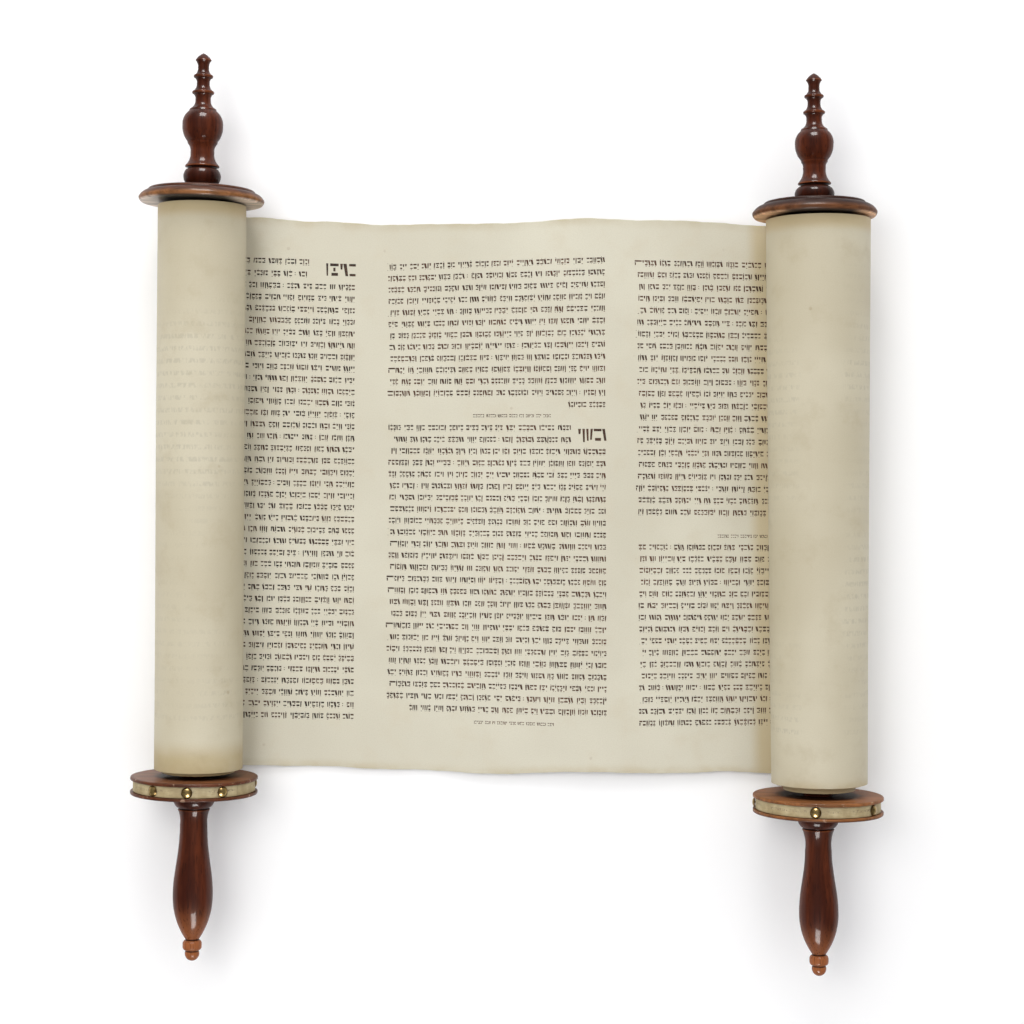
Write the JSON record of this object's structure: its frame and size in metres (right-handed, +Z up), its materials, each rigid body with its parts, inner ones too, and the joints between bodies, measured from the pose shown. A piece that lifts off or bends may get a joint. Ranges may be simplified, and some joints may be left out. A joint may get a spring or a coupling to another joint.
{
  "type": "haftarah scroll",
  "caption": "Parchment scroll wound on two turned wooden rollers with discs, finials and handles, lying open for reading.",
  "frame": {"origin": "on the ground below the middle of the scroll's bounding box, with the scroll on its back", "axes": "+X from the left roller to the right one, +Y along the rollers towards the finials, +Z up, out of the written side"},
  "size_m": [0.6614, 0.8116, 0.1137],
  "materials": {
    "mahogany": "satin",
    "disc_wood": "satin",
    "parchment": "matte",
    "band_parchment": "matte",
    "aged_brass": "satin"
  },
  "bodies": {
    "root": {"left_finial": "mahogany", "left_staff": "mahogany", "left_upper_disc": "disc_wood", "left_lower_disc": "disc_wood", "left_rim_band": "band_parchment", "left_rim_nail_01": "aged_brass", "left_rim_nail_02": "aged_brass", "left_rim_nail_03": "aged_brass", "left_rim_nail_04": "aged_brass", "left_rim_nail_05": "aged_brass", "left_rim_nail_06": "aged_brass", "left_rim_nail_07": "aged_brass", "right_finial": "mahogany", "right_staff": "mahogany", "right_upper_disc": "disc_wood", "right_lower_disc": "disc_wood", "right_rim_band": "band_parchment", "right_rim_nail_01": "aged_brass", "right_rim_nail_02": "aged_brass", "right_rim_nail_03": "aged_brass", "right_rim_nail_04": "aged_brass", "right_rim_nail_05": "aged_brass", "parchment": "parchment"}
  },
  "joints": []
}
